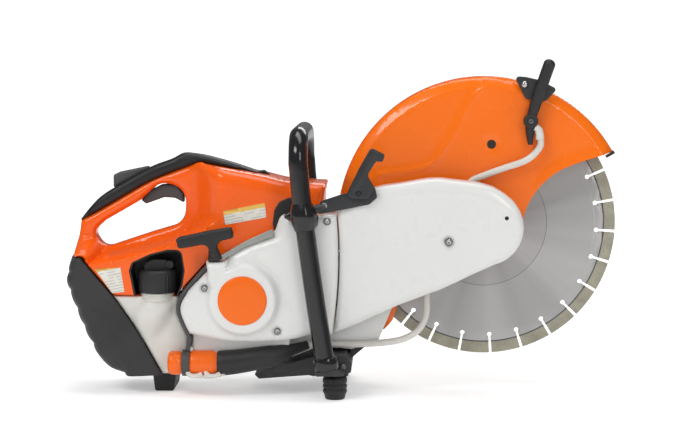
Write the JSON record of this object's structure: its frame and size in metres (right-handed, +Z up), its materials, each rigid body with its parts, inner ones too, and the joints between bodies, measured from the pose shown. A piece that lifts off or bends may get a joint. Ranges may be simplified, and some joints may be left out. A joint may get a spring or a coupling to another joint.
{
  "type": "concrete cut-off saw",
  "caption": "Hand-held engine-driven cut-off saw: cutting wheel on a belt-driven arm under a swinging guard, wrap-round front handle, rear handle, tank and water supply.",
  "frame": {"origin": "bottom centre of the overall box, on the ground it stands on", "axes": "+X forward to the cutting wheel, +Y away from the starter side across the saw, +Z up"},
  "size_m": [0.732, 0.25, 0.448],
  "materials": {
    "hood_orange": "glossy moulded",
    "guard_orange": "glossy paint over sheet magnesium",
    "cover_white": "satin moulded",
    "tank_white": "satin moulded",
    "cast_light": "as-cast",
    "cast_dark": "satin black",
    "tube_black": "gloss powder coat",
    "soft_black": "matt",
    "skid_black": "grained",
    "grip_dark": "grained",
    "trigger_grey": "satin",
    "seal_grey": "matt",
    "steel_bright": "brushed",
    "steel_dark": "oiled",
    "wheel_steel": "ground",
    "segment": "sintered",
    "hose_white": "satin",
    "coupling_orange": "moulded",
    "label_cream": "printed film",
    "filter_cloth": "flocked",
    "ceramic_white": "glazed"
  },
  "bodies": {
    "saw_body": {"crankcase": "cast_light", "cylinder": "cast_light", "piston": "cast_light", "connecting_rod": "steel_dark", "spark_plug": "ceramic_white", "muffler": "steel_dark", "carburetor": "cast_light", "air_filter": "filter_cloth", "ignition_coil": "soft_black", "fan_cover": "cover_white", "starter_cover": "cover_white", "emblem_disc": "coupling_orange", "recoil_spring": "steel_bright", "belt_arm": "cast_light", "belt_cover": "cover_white", "drive_belt": "soft_black", "bearings": "steel_bright", "front_handle": "tube_black", "front_support": "cast_dark", "front_feet": "soft_black", "base_rail": "cast_dark", "fuel_tank": "tank_white", "rear_housing_near": "hood_orange", "rear_housing_far": "hood_orange", "grip_cover": "grip_dark", "rear_skid": "skid_black", "rear_foot": "soft_black", "gap_seal": "seal_grey", "filler_recess": "skid_black", "labels": "label_cream", "cover_screws": "steel_bright", "water_hose_lower": "hose_white", "water_coupling": "coupling_orange", "hose_sleeve": "soft_black", "lever_bracket": "cast_dark", "vibration_buffers": "soft_black"},
    "cutting_wheel": {"spindle_shaft": "steel_bright", "driven_pulley": "cast_light", "clamping_flanges": "steel_dark", "clamp_bolt": "steel_dark", "blade_core": "wheel_steel", "diamond_segments": "segment"},
    "clutch_drum": {"clutch_drum": "steel_dark"},
    "crank_assembly": {"crankshaft": "steel_bright", "flywheel": "steel_dark", "clutch_shoes": "steel_dark"},
    "guard": {"wheel_guard": "guard_orange", "guard_lip": "soft_black", "guard_handle": "grip_dark", "water_hose_upper": "hose_white", "spray_nozzles": "hose_white"},
    "throttle_trigger": {"throttle_trigger": "trigger_grey"},
    "trigger_lockout": {"trigger_lockout": "trigger_grey"},
    "fuel_cap": {"fuel_cap": "skid_black"},
    "starter_grip": {"starter_grip": "grip_dark"},
    "rope_pulley": {"rope_pulley": "skid_black", "starter_rope": "filter_cloth"},
    "brake_lever": {"brake_lever": "grip_dark"},
    "decompression_button": {"decompression_button": "soft_black"},
    "stop_switch": {"stop_switch": "grip_dark"}
  },
  "joints": [
    {"name": "wheel_spin", "type": "hinge", "parent": "saw_body", "child": "cutting_wheel", "pos_m": [0.191, 0, 0.224], "axis": [0, 1, 0], "continuous": true},
    {"name": "drum_spin", "type": "hinge", "parent": "saw_body", "child": "clutch_drum", "pos_m": [-0.125, 0, 0.13], "axis": [0, 1, 0], "continuous": true},
    {"name": "crank_spin", "type": "hinge", "parent": "saw_body", "child": "crank_assembly", "pos_m": [-0.125, 0, 0.13], "axis": [0, 1, 0], "continuous": true},
    {"name": "guard_swing", "type": "hinge", "parent": "saw_body", "child": "guard", "pos_m": [0.191, 0, 0.224], "axis": [0, 1, 0], "range_deg": [-30, 35]},
    {"name": "trigger_squeeze", "type": "hinge", "parent": "saw_body", "child": "throttle_trigger", "pos_m": [-0.217, 0, 0.268], "axis": [0, 1, 0], "range_deg": [0, 9], "stiffness_Nm_per_rad": 0.3, "springref_deg": -8.59},
    {"name": "lockout_press", "type": "hinge", "parent": "saw_body", "child": "trigger_lockout", "pos_m": [-0.259, 0, 0.294], "axis": [0, -1, 0], "range_deg": [0, 8], "stiffness_Nm_per_rad": 0.2, "springref_deg": -8.59},
    {"name": "fuel_cap_turn", "type": "hinge", "parent": "saw_body", "child": "fuel_cap", "pos_m": [-0.241, -0.05, 0.135], "axis": [0, 0, 1], "range_deg": [0, 90]},
    {"name": "starter_pull", "type": "slide", "parent": "saw_body", "child": "starter_grip", "axis": [-0.196, 0, 0.9806], "range_m": [0, 0.4], "stiffness_N_per_m": 8, "springref_m": -0.15},
    {"name": "rope_pulley_spin", "type": "hinge", "parent": "saw_body", "child": "rope_pulley", "pos_m": [-0.125, 0, 0.13], "axis": [0, 1, 0], "range_deg": [-1, 830]},
    {"name": "brake_lever_swing", "type": "hinge", "parent": "saw_body", "child": "brake_lever", "pos_m": [0.026, -0.1, 0.27], "axis": [0, 1, 0], "range_deg": [0, 20]},
    {"name": "decompression_press", "type": "slide", "parent": "saw_body", "child": "decompression_button", "axis": [0, -1, 0], "range_m": [0, 0.003], "stiffness_N_per_m": 300, "springref_m": -0.002},
    {"name": "stop_switch_slide", "type": "slide", "parent": "saw_body", "child": "stop_switch", "axis": [1, 0, 0], "range_m": [0, 0.006]}
  ],
  "couplings": [
    {"joint": "drum_spin", "follows": "wheel_spin", "ratio": 1.8386},
    {"joint": "rope_pulley_spin", "follows": "starter_pull", "rad_per_m": 35.714}
  ]
}
